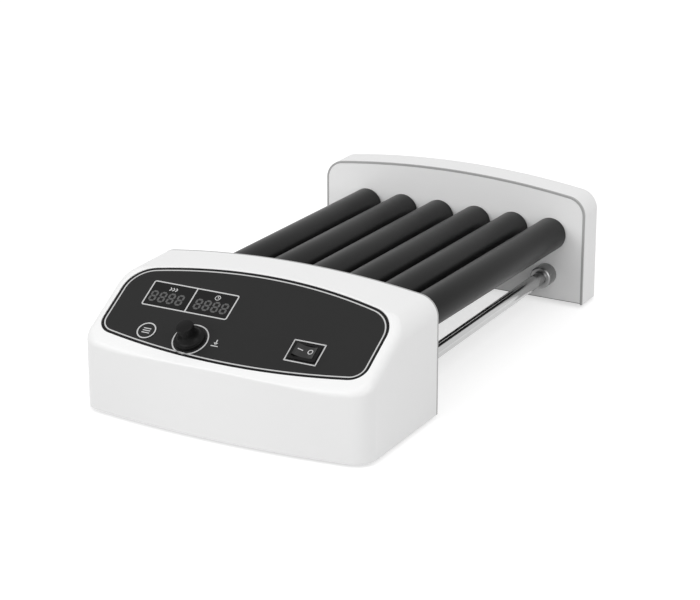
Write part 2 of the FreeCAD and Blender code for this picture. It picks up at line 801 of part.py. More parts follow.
def grooved(x, z, front, rear, grooves, bore):
    wheel = tube(pulley_diameter, bore, rear - front, V(x, front, z))
    width = belt_diameter + 2 * belt_gap
    for y in grooves:
        wheel = wheel.cut(Part.makeTorus(belt_radius, width / 2, V(x, y, z), Y))
        wheel = wheel.cut(tube(pulley_diameter + width, 2 * belt_radius, width, V(x, y - width / 2, z)))
    return wheel


for number, x in enumerate(roller_x, 1):
    z = roller_axis_height
    sleeve = tube(roller_diameter, roller_bore, roller_length, V(x, roller_front, z))
    save("roller_%d_sleeve" % number, rocked(sleeve))
    shaft = cylinder(journal_diameter, shaft_rear - shaft_front, V(x, shaft_front, z))
    plugs = [
        tube(roller_bore, journal_diameter, plug_length, V(x, start, z))
        for start in (roller_front, roller_rear - plug_length)
    ]
    save("roller_%d_shaft" % number, rocked(shaft), *[rocked(p) for p in plugs])
    pulley = grooved(x, z, pulley_front, pulley_rear, groove_y, journal_diameter)
    save("roller_%d_pulley" % number, rocked(pulley))

# Carrier bar with the front bearings, which hangs on the journals and rocks
bar_low = roller_axis_height - carrier_below
bar_high = roller_axis_height + carrier_above
bar = block(
    (roller_x[0] - carrier_end, roller_x[-1] + carrier_end),
    (bar_front, bar_front + carrier_thickness),
    (bar_low, bar_high),
)
bearings = []
bearing_front = bar_front + (carrier_thickness - bearing_width) / 2
bearing_bore = journal_diameter + 2 * running_clearance
for x in roller_x:
    bar = bar.cut(cylinder(bearing_outer, carrier_thickness, V(x, bar_front, roller_axis_height)))
    centre = V(x, bearing_front, roller_axis_height)
    bearings.append(rocked(tube(bearing_outer, bearing_bore, bearing_width, centre)))
save("front_bearings", *bearings)
save("carrier_bar", rocked(bar))
motor_x = roller_x[roller_count // 2]
motor_z = roller_axis_height - motor_drop
standoff_z = roller_axis_height - standoff_drop
standoff_x = [motor_x - standoff_spread, motor_x + standoff_spread]
bracket_rear = pulley_front - bracket_gap
bracket_front = bracket_rear - bracket_size[2]
standoffs = [
    rocked(cylinder(standoff_diameter, bar_front - bracket_rear, V(x, bracket_rear, standoff_z)))
    for x in standoff_x
]
bracket_top = standoff_z + standoff_diameter
bracket = block(
    (motor_x - bracket_size[0] / 2, motor_x + bracket_size[0] / 2),
    (bracket_front, bracket_rear),
    (bracket_top - bracket_size[1], bracket_top),
)
bracket = bracket.cut(cylinder(motor_boss_diameter, bracket_size[2], V(motor_x, bracket_front, motor_z)))
save("motor_bracket", rocked(bracket), *standoffs)
motor = cylinder(motor_diameter, gearbox_length, V(motor_x, bracket_front - gearbox_length, motor_z))
can_start = V(motor_x, bracket_front - motor_length, motor_z)
motor = motor.fuse(cylinder(motor_diameter - motor_can_step, motor_length - gearbox_length, can_start))
motor = motor.fuse(cylinder(motor_boss_diameter, bracket_size[2], V(motor_x, bracket_front, motor_z)))
shaft_end = bracket_front - motor_shaft_depth
motor_bore = motor_shaft_diameter + 2 * running_clearance
motor = motor.cut(cylinder(motor_bore, bracket_rear - shaft_end, V(motor_x, shaft_end, motor_z)))
save("drive_motor", rocked(motor.removeSplitter()))

# Round belts between neighbours in two planes, and from the motor in a third
cord = belt_diameter / 2


def belt(first, second, y):
    """A closed round belt around two equal pulleys; first and second are (x, z)."""
    a = V(first[0], y, first[1])
    b = V(second[0], y, second[1])
    along = (b - a).normalize()
    across = along.cross(Y)
    path = Part.Wire([
        Part.makeLine(a + across * belt_radius, b + across * belt_radius),
        Part.Arc(b + across * belt_radius, b + along * belt_radius, b - across * belt_radius).toShape(),
        Part.makeLine(b - across * belt_radius, a - across * belt_radius),
        Part.Arc(a - across * belt_radius, a - along * belt_radius, a + across * belt_radius).toShape(),
    ])
    section = Part.Wire(Part.makeCircle(cord, a + across * belt_radius, along))
    return path.makePipeShell([section], True, True)


belts = []
for i in range(roller_count - 1):
    left = (roller_x[i], roller_axis_height)
    right = (roller_x[i + 1], roller_axis_height)
    belts.append(rocked(belt(left, right, groove_y[i % 2])))
save("roller_belts", *belts)
save("drive_belt", rocked(belt((motor_x, motor_z), (motor_x, roller_axis_height), groove_y[2])))

# Motor shaft with its pulley and the crank that rocks the bank
guide_front = bar_front - guide_gap - guide_thickness
crank_radius = stroke_at(guide_front + guide_thickness / 2) / 2
crank_reach = motor_drop + crank_radius + crank_pin_diameter / 2
crank_swing = 2 * crank_reach * math.sin(math.radians(rock_half_angle))
crank_rear = guide_front - crank_swing - crank_pin_gap - crank_pin_length
crank_diameter = 2 * (crank_radius + crank_rim) + crank_pin_diameter
shaft_start = shaft_end + clearance
motor_shaft = cylinder(motor_shaft_diameter, crank_rear - shaft_start, V(motor_x, shaft_start, motor_z))
save("motor_shaft", rocked(motor_shaft))
drive_pulley = grooved(
    motor_x,
    motor_z,
    groove_y[2] - pulley_margin,
    groove_y[2] + pulley_margin,
    [groove_y[2]],
    motor_shaft_diameter,
)
save("drive_pulley", rocked(drive_pulley))
crank_start = V(motor_x, crank_rear - crank_thickness, motor_z)
crank = tube(crank_diameter, motor_shaft_diameter, crank_thickness, crank_start)
crank_pin = cylinder(crank_pin_diameter, crank_pin_length, V(motor_x, crank_rear, motor_z - crank_radius))
save("crank", rocked(crank.fuse(crank_pin).removeSplitter()))

# Fixed guide on the base, whose level slot the crank pin runs in
guide_z = motor_z
guide_run = 2 * crank_radius + crank_pin_diameter + 2 * running_clearance
guide_half = guide_run / 2 + guide_border
guide_slot = crank_pin_diameter + 2 * running_clearance
guide_top = guide_z + guide_slot / 2 + guide_border
guide = block(
    (motor_x - guide_half, motor_x + guide_half),
    (guide_front, guide_front + guide_thickness),
    (base_top, guide_top),
)
guide = guide.cut(block(
    (motor_x - guide_run / 2, motor_x + guide_run / 2),
    (guide_front, guide_front + guide_thickness),
    (guide_z - guide_slot / 2, guide_z + guide_slot / 2),
))
guide = guide.fuse(block(
    (motor_x - guide_half, motor_x + guide_half),
    (guide_front - guide_foot, guide_front),
    (base_top, base_top + guide_thickness),
))
save("rocking_guide", guide.removeSplitter())
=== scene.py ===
"""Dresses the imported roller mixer: finishes, printed panel, rounded rollers and rods, knob and studio.

The object's lengths are millimetres times MM, which makes them metres; the studio's are in metres.
"""
import json
import math
import bmesh
import bpy
from mathutils import Matrix, Vector


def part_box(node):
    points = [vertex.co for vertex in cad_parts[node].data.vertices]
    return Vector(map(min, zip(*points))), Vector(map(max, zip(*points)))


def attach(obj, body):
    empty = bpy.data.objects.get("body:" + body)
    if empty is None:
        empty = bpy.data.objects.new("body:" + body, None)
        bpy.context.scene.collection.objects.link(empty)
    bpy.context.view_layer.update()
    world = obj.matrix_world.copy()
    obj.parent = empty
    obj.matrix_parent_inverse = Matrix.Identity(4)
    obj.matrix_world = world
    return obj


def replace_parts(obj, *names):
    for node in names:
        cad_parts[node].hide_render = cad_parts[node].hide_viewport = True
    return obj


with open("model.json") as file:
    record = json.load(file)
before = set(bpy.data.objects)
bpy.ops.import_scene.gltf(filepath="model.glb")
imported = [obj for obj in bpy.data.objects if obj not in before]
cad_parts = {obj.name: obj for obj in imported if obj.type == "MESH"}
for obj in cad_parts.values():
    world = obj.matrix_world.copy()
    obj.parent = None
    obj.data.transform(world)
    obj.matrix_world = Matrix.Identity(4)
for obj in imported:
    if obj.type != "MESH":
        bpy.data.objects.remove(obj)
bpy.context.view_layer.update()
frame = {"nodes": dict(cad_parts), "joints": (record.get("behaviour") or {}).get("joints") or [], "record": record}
MM = 0.001
nodes = frame["nodes"]
joints = {joint["name"]: joint for joint in frame["joints"]}

# Camera at the photograph's angle
camera_azimuth = math.radians(28.40)
camera_elevation = math.radians(19.86)
camera_distance = 2365.9 * MM
camera_target = Vector((-107.05, 194.5, -32.67)) * MM
lens_length = 127.5
sensor_width = 36.0


def make_camera():
    """A camera set back from its target along the photograph's angle."""
    flat = math.cos(camera_elevation)
    back = Vector((
        math.sin(camera_azimuth) * flat,
        -math.cos(camera_azimuth) * flat,
        math.sin(camera_elevation),
    ))
    data = bpy.data.cameras.new("view")
    data.sensor_width = sensor_width
    data.lens = lens_length
    data.clip_end = 50.0
    camera = bpy.data.objects.new("view", data)
    camera.location = camera_target + back * camera_distance
    camera.rotation_euler = (-back).to_track_quat("-Z", "Y").to_euler()
    bpy.context.scene.collection.objects.link(camera)
    bpy.context.scene.camera = camera


# Shader groups that several finishes share
def new_group(name, inputs, outputs):
    """An empty shader group with its named sockets, and the nodes that stand for them inside."""
    group = bpy.data.node_groups.new(name, "ShaderNodeTree")
    for label, kind, value in inputs:
        socket = group.interface.new_socket(label, in_out="INPUT", socket_type=kind)
        if value is not None:
            socket.default_value = value
    for label, kind in outputs:
        group.interface.new_socket(label, in_out="OUTPUT", socket_type=kind)
    return group, group.nodes.new("NodeGroupInput"), group.nodes.new("NodeGroupOutput")


def spread(tree, value, low, high):
    """A value from 0 to 1 brought into the range from low to high."""
    node = tree.nodes.new("ShaderNodeMapRange")
    node.inputs["To Min"].default_value = low
    node.inputs["To Max"].default_value = high
    tree.links.new(value, node.inputs["Value"])
    return node.outputs["Result"]


def combine(tree, kind, first, second):
    """Two values put through a math operation; either may be a number or a socket."""
    node = tree.nodes.new("ShaderNodeMath")
    node.operation = kind
    for socket, value in zip(node.inputs, (first, second)):
        if isinstance(value, (int, float)):
            socket.default_value = value
        else:
            tree.links.new(value, socket)
    return node.outputs["Value"]


def noise(tree, place, scale, detail=2.0, roughness=0.5):
    """A noise value at a place; the scale may be a number or a socket."""
    node = tree.nodes.new("ShaderNodeTexNoise")
    node.inputs["Detail"].default_value = detail
    node.inputs["Roughness"].default_value = roughness
    tree.links.new(place, node.inputs["Vector"])
    if isinstance(scale, (int, float)):
        node.inputs["Scale"].default_value = scale
    else:
        tree.links.new(scale, node.inputs["Scale"])
    return node.outputs["Fac"]


rubs_per_cloud = 9.0
surface_outputs = [
    ("Height", "NodeSocketFloat"),
    ("Clouds", "NodeSocketFloat"),
    ("Wear", "NodeSocketFloat"),
]


def moulded_grain_group():
    """Fine pits of a moulded or painted skin, with slow clouds and a little handling wear."""
    group, given, result = new_group(
        "moulded_grain",
        [("Place", "NodeSocketVector", None), ("Grain", "NodeSocketFloat", 1500.0),
         ("Cloud", "NodeSocketFloat", 12.0)],
        surface_outputs,
    )
    place = given.outputs["Place"]
    pits = noise(group, place, given.outputs["Grain"], detail=3.0)
    clouds = noise(group, place, given.outputs["Cloud"], detail=4.0)
    rub_scale = combine(group, "MULTIPLY", given.outputs["Cloud"], rubs_per_cloud)
    rubs = noise(group, place, rub_scale, detail=6.0, roughness=0.7)
    group.links.new(pits, result.inputs["Height"])
    group.links.new(clouds, result.inputs["Clouds"])
    group.links.new(combine(group, "MULTIPLY", rubs, clouds), result.inputs["Wear"])
    return group


def tool_lines_group():
    """Fine lines left by turning, grinding or brushing; Stretch squeezes them along each axis."""
    group, given, result = new_group(
        "tool_lines",
        [("Place", "NodeSocketVector", None), ("Stretch", "NodeSocketVector", (1.0, 1.0, 1.0)),
         ("Lines", "NodeSocketFloat", 300.0)],
        surface_outputs,
    )
    place = given.outputs["Place"]
    drawn = group.nodes.new("ShaderNodeVectorMath")
    drawn.operation = "MULTIPLY"
    group.links.new(place, drawn.inputs[0])
    group.links.new(given.outputs["Stretch"], drawn.inputs[1])
    lines = noise(group, drawn.outputs["Vector"], given.outputs["Lines"], detail=4.0, roughness=0.6)
    clouds = noise(group, place, scale=14.0, detail=3.0)
    rubs = noise(group, place, scale=120.0, detail=6.0, roughness=0.7)
    group.links.new(lines, result.inputs["Height"])
    group.links.new(clouds, result.inputs["Clouds"])
    group.links.new(combine(group, "MULTIPLY", rubs, clouds), result.inputs["Wear"])
    return group


moulded_grain = moulded_grain_group()
tool_lines = tool_lines_group()


bump_depth = 0.1 * MM


def skin(name, group, colour, tone, roughness, bump, metal=0.0, gloss=0.5, **settings):
    """A finish: tone is the second colour in its clouds, roughness a low and a high value."""
    material = bpy.data.materials.new(name)
    material.use_nodes = True
    tree = material.node_tree
    shader = tree.nodes["Principled BSDF"]
    place = tree.nodes.new("ShaderNodeTexCoord").outputs["Object"]
    surface = tree.nodes.new("ShaderNodeGroup")
    surface.node_tree = group
    tree.links.new(place, surface.inputs["Place"])
    for label, value in settings.items():
        surface.inputs[label].default_value = value
    blend = tree.nodes.new("ShaderNodeMix")
    blend.data_type = "RGBA"
    blend.inputs["A"].default_value = (*colour, 1.0)
    blend.inputs["B"].default_value = (*tone, 1.0)
    tree.links.new(surface.outputs["Clouds"], blend.inputs["Factor"])
    tree.links.new(blend.outputs["Result"], shader.inputs["Base Color"])
    tree.links.new(spread(tree, surface.outputs["Wear"], *roughness), shader.inputs["Roughness"])
    raised = tree.nodes.new("ShaderNodeBump")
    raised.inputs["Strength"].default_value = bump
    raised.inputs["Distance"].default_value = bump_depth
    tree.links.new(surface.outputs["Height"], raised.inputs["Height"])
    tree.links.new(raised.outputs["Normal"], shader.inputs["Normal"])
    shader.inputs["Metallic"].default_value = metal
    shader.inputs["Specular IOR Level"].default_value = gloss
    return material


def grey(level, warmth=0.0):
    return (level * (1 + warmth), level, level * (1 - warmth))


turned = (1.0, 10.0, 1.0)
wiped = (1.0, 12.0, 1.0)
brushed = (0.15, 1.0, 6.0)


looks = {
    "housing_white": dict(
        group=moulded_grain, colour=grey(0.80), tone=grey(0.77), roughness=(0.30, 0.46), bump=0.08,
        gloss=0.35, Grain=900.0, Cloud=7.0,
    ),
    "plate_white": dict(
        group=moulded_grain, colour=grey(0.86), tone=grey(0.82), roughness=(0.34, 0.50), bump=0.12,
        Grain=1400.0,
    ),
    "panel_dark": dict(
        group=moulded_grain, colour=grey(0.019), tone=grey(0.016), roughness=(0.45, 0.62), bump=0.10,
        gloss=0.11, Grain=2600.0,
    ),
    # The film's black edge is painted shade: a black band standing for the shadowed groove between the film and
    # the housing.
    "groove_shade_black": dict(
        group=moulded_grain, colour=grey(0.004), tone=grey(0.003), roughness=(0.40, 0.55), bump=0.06,
        gloss=0.15, Grain=2600.0,
    ),
    "print_light": dict(
        group=moulded_grain, colour=grey(0.52), tone=grey(0.46), roughness=(0.45, 0.60), bump=0.10,
        Grain=2600.0,
    ),
    "window_smoke": dict(
        group=moulded_grain, colour=grey(0.010), tone=grey(0.008), roughness=(0.20, 0.32), bump=0.02,
        gloss=0.10,
    ),
    "digit_grey": dict(
        group=moulded_grain, colour=grey(0.095), tone=grey(0.080), roughness=(0.35, 0.50), bump=0.05,
        gloss=0.2,
    ),
    "display_grey": dict(
        group=moulded_grain, colour=grey(0.07), tone=grey(0.06), roughness=(0.4, 0.55), bump=0.1,
    ),
    "board_green": dict(
        group=moulded_grain, colour=(0.02, 0.16, 0.06), tone=(0.02, 0.12, 0.05), roughness=(0.3, 0.5),
        bump=0.2,
    ),
    "black_plastic": dict(
        group=moulded_grain, colour=grey(0.005), tone=grey(0.004), roughness=(0.36, 0.56), bump=0.25,
        gloss=0.12, Grain=1800.0,
    ),
    "black_gloss": dict(
        group=moulded_grain, colour=grey(0.010), tone=grey(0.008), roughness=(0.14, 0.28), bump=0.08,
        gloss=0.4,
    ),
    "roller_rubber": dict(
        group=tool_lines, colour=grey(0.008), tone=grey(0.006), roughness=(0.30, 0.46), bump=0.15,
        gloss=0.12, Stretch=wiped, Lines=220.0,
    ),
    # Seal strips: a real strip whose grey is painted shade, standing for the shadow line in the gap between each
    # end plate and its cover.
    "seal_rubber": dict(
        group=moulded_grain, colour=grey(0.40), tone=grey(0.36), roughness=(0.5, 0.7), bump=0.3,
    ),
    "foot_rubber": dict(
        group=moulded_grain, colour=grey(0.022), tone=grey(0.030), roughness=(0.6, 0.85), bump=0.5,
        Grain=900.0,
    ),
    "belt_rubber": dict(
        group=moulded_grain, colour=grey(0.022), tone=grey(0.030), roughness=(0.5, 0.7), bump=0.3,
    ),
    "chrome_rod": dict(
        group=tool_lines, colour=grey(0.56), tone=grey(0.50), roughness=(0.10, 0.22), bump=0.05,
        metal=1.0, Stretch=turned, Lines=260.0,
    ),
    # The collars' metal is darker than the rods' chrome: painted shade and reflection for the dark look the
    # collars have near the plates.
    "collar_steel_shaded": dict(
        group=tool_lines, colour=grey(0.30), tone=grey(0.24), roughness=(0.28, 0.42), bump=0.12,
        metal=1.0, Stretch=turned, Lines=260.0,
    ),
    "steel": dict(
        group=tool_lines, colour=grey(0.58), tone=grey(0.50), roughness=(0.22, 0.40), bump=0.20,
        metal=1.0, Stretch=turned, Lines=300.0,
    ),
    "zinc": dict(
        group=moulded_grain, colour=grey(0.62, 0.02), tone=grey(0.50, 0.02), roughness=(0.25, 0.45),
        bump=0.20, metal=1.0,
    ),
    "base_steel": dict(
        group=moulded_grain, colour=grey(0.40), tone=grey(0.36), roughness=(0.4, 0.6), bump=0.35,
        Grain=1100.0,
    ),
    "aluminium": dict(
        group=tool_lines, colour=grey(0.72), tone=grey(0.66), roughness=(0.28, 0.45), bump=0.25,
        metal=1.0, Stretch=brushed, Lines=350.0,
    ),
    "nylon": dict(
        group=moulded_grain, colour=grey(0.72, 0.03), tone=grey(0.66, 0.04), roughness=(0.35, 0.5),
        bump=0.2,
    ),
    "pulley_plastic": dict(
        group=moulded_grain, colour=grey(0.05), tone=grey(0.04), roughness=(0.4, 0.6), bump=0.3,
    ),
}
finishes = {name: skin(name, **look) for name, look in looks.items()}


def dress(piece, finish):
    piece.data.materials.clear()
    piece.data.materials.append(finishes[finish])


def dress_frame():
    """Each node from the frame takes the finish that its material slot names."""
    for part in frame["record"]["subparts"]:
        dress(nodes[part["node"]], part["material_slot"])


# Pieces
bodies = frame["record"]["behaviour"]["bodies"]
body_of = {node: body for body, members in bodies.items() for node in members}
slot_of = {part["node"]: part["material_slot"] for part in frame["record"]["subparts"]}
weld = 0.0001 * MM
node_weld = 0.001 * MM
crisp_angle = math.radians(35)
bevel_angle = math.radians(50)
flat_angle = math.radians(0.2)
longest_cut = 0.45


def new_piece(name, mesh, finish, body, smooth=True, outwards=True):
    """Close a mesh, give it its finish and tie it to its body."""
    bmesh.ops.remove_doubles(mesh, verts=mesh.verts, dist=weld)
    if outwards:
        bmesh.ops.recalc_face_normals(mesh, faces=mesh.faces)
    data = bpy.data.meshes.new(name)
    mesh.to_mesh(data)
    mesh.free()
    if smooth:
        for face in data.polygons:
            face.use_smooth = True
        data.set_sharp_from_angle(angle=crisp_angle)
    piece = bpy.data.objects.new(name, data)
    bpy.context.scene.collection.objects.link(piece)
    dress(piece, finish)
    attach(piece, body)
    return piece


def along(point, direction):
    """The matrix that carries +Z to direction and the origin to point."""
    return Matrix.Translation(point) @ Vector(direction).to_track_quat("Z", "X").to_matrix().to_4x4()


def added(mesh, known):
    return [vert for vert in mesh.verts if vert not in known]


def spin_profile(mesh, points, place, steps=64, closed=True):
    """Turn (radius, height) points, in metres, about Z and carry the result by place."""
    known = set(mesh.verts)
    verts = [mesh.verts.new((radius, 0, height)) for radius, height in points]
    edges = [mesh.edges.new(pair) for pair in zip(verts, verts[1:])]
    if closed:
        edges.append(mesh.edges.new((verts[-1], verts[0])))
    bmesh.ops.spin(
        mesh, geom=verts + edges, cent=(0, 0, 0), axis=(0, 0, 1),
        angle=2 * math.pi, steps=steps, use_merge=True, use_duplicate=False,
    )
    bmesh.ops.remove_doubles(mesh, verts=added(mesh, known), dist=weld)
    bmesh.ops.transform(mesh, matrix=place, verts=added(mesh, known))


def rounded(points, radius, steps=4):
    """Round each corner of a closed (radius, height) outline, by less than half of its sides."""
    result = []
    count = len(points)
    for i, corner in enumerate(points):
        here = Vector(corner)
        before = Vector(points[i - 1]) - here
        after = Vector(points[(i + 1) % count]) - here
        cut = min(radius, before.length * longest_cut, after.length * longest_cut)
        start = here + before.normalized() * cut
        end = here + after.normalized() * cut
        for k in range(steps + 1):
            t = k / steps
            result.append(tuple(start * (1 - t) ** 2 + here * (2 * t * (1 - t)) + end * t ** 2))
    return result


def soften(node, name, edge=0.0, reshape=None):
    """Replace a node by its own shape with smooth surfaces, its sharp edges rounded a little."""
    mesh = bmesh.new()
    mesh.from_mesh(nodes[node].data)
    bmesh.ops.remove_doubles(mesh, verts=mesh.verts, dist=node_weld)
    if reshape:
        reshape(mesh)
    bmesh.ops.dissolve_limit(
        mesh, angle_limit=flat_angle, verts=mesh.verts, edges=mesh.edges, use_dissolve_boundaries=False,
    )
    piece = new_piece(name, mesh, slot_of[node], body_of[node], outwards=False)
    if edge:
        rounding = piece.modifiers.new("edge", "BEVEL")
        rounding.width = edge
        rounding.segments = 2
        rounding.limit_method = "ANGLE"
        rounding.angle_limit = bevel_angle
        rounding.harden_normals = False
    flats = piece.modifiers.new("flats", "WEIGHTED_NORMAL")
    flats.keep_sharp = True
    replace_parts(piece, node)
    return piece


def reach(node, point, axis):
    """How far a node runs along an axis from a point, as (low, high)."""
    steps = [(v.co - point).dot(axis) for v in nodes[node].data.vertices]
    return min(steps), max(steps)


# Rollers with rounded rubber ends
roller_count = sum(name.endswith("_sleeve") for name in nodes)
roller_radius = 15.0 * MM
roller_bore = 12.0 * MM
roller_edge = 0.6 * MM


def make_rollers():
    """Rubber covers turned about each roller's own axis, over the sleeves' length."""
    for number in range(1, roller_count + 1):
        joint = joints["roller_%d_spin" % number]
        point, axis = Vector(joint["pos_m"]), Vector(joint["axis"]).normalized()
        low, high = reach("roller_%d_sleeve" % number, point, axis)
        outline = [(roller_bore, low), (roller_radius, low), (roller_radius, high), (roller_bore, high)]
        mesh = bmesh.new()
        spin_profile(mesh, rounded(outline, roller_edge), along(point, axis), steps=96)
        piece = new_piece("roller_%d_cover" % number, mesh, "roller_rubber", "roller_%d" % number)
        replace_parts(piece, "roller_%d_sleeve" % number)


# Tie rods and their collars
rod_edge = 0.4 * MM
rod_edge_steps = 2


def rod_places():
    """The rods' radius, the two corners of the box round them, and where each lies across."""
    low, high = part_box("tie_rods")
    radius = (high.z - low.z) / 2
    return radius, low, high, [low.x + radius, high.x - radius]


def make_tie_rods():
    """Two bright rods with their edges turned off; the corners on the axis stay sharp."""
    radius, low, high, places = rod_places()
    mesh = bmesh.new()
    outline = [(0.0, low.y), (radius, low.y), (radius, high.y), (0.0, high.y)]
    corner_points = rod_edge_steps + 1
    edges = rounded(outline, rod_edge, rod_edge_steps)[corner_points:-corner_points]
    profile = [(0.0, low.y)] + edges + [(0.0, high.y)]
    for x in places:
        spin_profile(mesh, profile, along((x, 0, low.z + radius), (0, 1, 0)), steps=72, closed=False)
    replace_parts(new_piece("tie_rod_bars", mesh, "chrome_rod", "root"), "tie_rods")


collar_chamfer = 1.0 * MM
collar_edge = 0.2 * MM
collar_length = 15.0 * MM


def make_collars():
    """Steel rings against both plates, chamfered at their open ends; darker than the rods, as painted shade."""
    radius, low, high, places = rod_places()
    ring_low, ring_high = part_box("rod_collars")
    outer = (ring_high.z - ring_low.z) / 2
    profile = [
        (radius, 0.0), (outer, 0.0), (outer, collar_length - collar_chamfer),
        (outer - collar_chamfer, collar_length), (radius, collar_length),
    ]
    mesh = bmesh.new()
    for x in places:
        for y, way in ((ring_low.y, 1), (ring_high.y, -1)):
            place = along((x, y, low.z + radius), (0, way, 0))
            spin_profile(mesh, rounded(profile, collar_edge, 2), place, steps=72)
    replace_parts(new_piece("collar_rings", mesh, "collar_steel_shaded", "root"), "rod_collars")


# The control panel: the knob turns on its normal, and the film lies in its plane
panel_out = Vector(joints["knob_turn"]["axis"]).normalized()
panel_up = panel_out.cross(Vector((1, 0, 0)))
film_points = [v.co for v in nodes["control_overlay"].data.vertices]
film_level = max(point.dot(panel_out) for point in film_points)
film_foot = min(point.dot(panel_up) for point in film_points)
film_height = max(point.dot(panel_up) for point in film_points) - film_foot
film_half = max(point.x for point in film_points)
film_bottom_sag = 11.7 * MM
film_top_sag = 17.8 * MM
film_low_corner = 15.0 * MM
film_high_corner = 27.0 * MM
edge_inset = 0.1 * MM
border_inset = 2.3 * MM
print_height = 0.05 * MM
line_width = 1.15 * MM
panel = Matrix.Translation(panel_up * film_foot + panel_out * film_level) @ Matrix(
    (Vector((1, 0, 0)), panel_up, panel_out)
).transposed().to_4x4()


def on_film(node):
    """The middle of a node's outline on the film, measured from the film's lowest point."""
    points = [panel.inverted() @ v.co for v in nodes[node].data.vertices]
    return tuple((min(p[k] for p in points) + max(p[k] for p in points)) / 2 for k in (0, 1))


def bowed_edge(half, middle, sag, corner, inset, way, steps=48, bends=12):
    """Points from right to left along a bowed edge and its two round corners; way is 1 at the top."""
    radius = (half ** 2 + sag ** 2) / (2 * sag)
    centre = middle - way * radius
    corner_x = half - corner
    corner_y = centre + way * math.sqrt((radius - corner) ** 2 - corner_x ** 2)
    bow = radius - inset
    bend = corner - inset
    lean = math.atan2(way * (corner_y - centre), corner_x)
    turn = [lean * k / bends for k in range(bends)]
    right = [(corner_x + bend * math.cos(t), corner_y + way * bend * math.sin(t)) for t in turn]
    sweep = [lean + (math.pi - 2 * lean) * k / steps for k in range(steps + 1)]
    arc = [(bow * math.cos(t), centre + way * bow * math.sin(t)) for t in sweep]
    return right + arc + [(-x, y) for x, y in reversed(right)]


def raise_print(mesh, face, width, height=print_height):
    """Turn a face into a raised line of the given width along its edge, or leave it whole at 0."""
    mesh.normal_update()
    flat = [face]
    if width:
        inset = bmesh.ops.inset_region(
            mesh, faces=[face], thickness=width, use_even_offset=True, use_boundary=True,
        )
        flat = inset["faces"]
        bmesh.ops.delete(mesh, geom=[face], context="FACES")
    grown = bmesh.ops.extrude_face_region(mesh, geom=flat, use_keep_orig=True)["geom"]
    raised = [part for part in grown if isinstance(part, bmesh.types.BMVert)]
    bmesh.ops.translate(mesh, vec=(0, 0, height), verts=raised)


def film_face(mesh, inset):
    """The film's outline, drawn in by inset, as one face."""
    top = bowed_edge(film_half, film_height, film_top_sag, film_high_corner, inset, 1)
    bottom = bowed_edge(film_half, 0.0, film_bottom_sag, film_low_corner, inset, -1)
    return mesh.faces.new([mesh.verts.new((x, y, 0)) for x, y in top + bottom[::-1]])


def box_face(mesh, centre, size, corner=0.0):
    """A flat rectangle, with round corners if asked."""
    known = set(mesh.faces)
    half = (size[0] / 2, size[1] / 2)
    ways = ((-1, -1), (1, -1), (1, 1), (-1, 1))
    verts = [mesh.verts.new((centre[0] + u * half[0], centre[1] + v * half[1], 0)) for u, v in ways]
    mesh.faces.new(verts)
    if corner:
        bmesh.ops.bevel(
            mesh, geom=verts, offset=corner, offset_type="OFFSET",
            affect="VERTICES", segments=6, profile=0.5, material=-1,
        )
    return next(f for f in mesh.faces if f not in known)


def ring_face(mesh, centre, outer, segments=72):
    """A flat disc as one face, for a ring once its print is raised."""
    place = Matrix.Translation((centre[0], centre[1], 0))
    circle = bmesh.ops.create_circle(mesh, cap_ends=True, radius=outer, segments=segments, matrix=place)
    return circle["verts"][0].link_faces[0]


def bar_face(mesh, start, end, width, pointed=False):
    """A straight bar between two points, with square or pointed ends."""
    a, b = Vector(start), Vector(end)
    along_bar = (b - a).normalized() * width / 2
    side = Vector((-along_bar.y, along_bar.x))
    if pointed:
        inner_a, inner_b = a + along_bar, b - along_bar
        points = [a, inner_a - side, inner_b - side, b, inner_b + side, inner_a + side]
    else:
        points = [a - side, b - side, b + side, a + side]
    return mesh.faces.new([mesh.verts.new((p.x, p.y, 0)) for p in points])


def lay_print(mesh, name, finish, node, lift=0.0):
    """Put the marks drawn on the film's plane in place, on the piece that carries them."""
    bmesh.ops.transform(mesh, matrix=panel @ Matrix.Translation((0, 0, lift)), verts=mesh.verts)
    return new_piece(name, mesh, finish, body_of[node], smooth=False)


window_place = on_film("display_window")
window_frame = (80.6 * MM, 26.6 * MM)
window_frame_lift = 0.6 * MM
window_corner = 2.2 * MM
button_place = on_film("mode_button")
button_ring = 8.3 * MM
button_proud = 0.4 * MM
knob_place = on_film("encoder_rotor")
knob_ring = 15.6 * MM
switch_place = on_film("power_switch_body")
switch_frame = (28.8 * MM, 22.2 * MM)
switch_frame_corner = 0.4 * MM
mark_width = 0.9 * MM
fine_width = 0.6 * MM


def make_film_print():
    """The black edge of the film, painted shade for the groove round it, and the light lines printed on it."""
    mesh = bmesh.new()
    # A black band along the film's border: painted shade for the groove between film and housing.
    raise_print(mesh, film_face(mesh, edge_inset), border_inset - edge_inset)
    lay_print(mesh, "film_edge_groove_shade", "groove_shade_black", "control_overlay")
    mesh = bmesh.new()
    raise_print(mesh, film_face(mesh, border_inset), line_width)
    raise_print(mesh, ring_face(mesh, knob_place, knob_ring), line_width)
    raise_print(mesh, box_face(mesh, switch_place, switch_frame, switch_frame_corner), line_width)
    lay_print(mesh, "film_lines", "print_light", "control_overlay")


digit_height = 11.4 * MM
digit_width = 6.6 * MM
segment_width = 1.75 * MM
segment_gap = 0.2 * MM
digit_drop = 2.0 * MM
digit_groups = ((-36.9 * MM, -5.5 * MM), (5.4 * MM, 36.3 * MM))
divider_shift = 1.0 * MM
digit_count = 4


def make_window_print():
    """The window's light frame and the bar between its two halves."""
    mesh = bmesh.new()
    middle = (window_place[0], window_place[1] + window_frame_lift)
    raise_print(mesh, box_face(mesh, middle, window_frame, window_corner), line_width)
    bar = (line_width, window_frame[1] - 2 * line_width)
    raise_print(mesh, box_face(mesh, (middle[0] + divider_shift, middle[1]), bar), 0)
    lay_print(mesh, "window_lines", "print_light", "control_overlay")


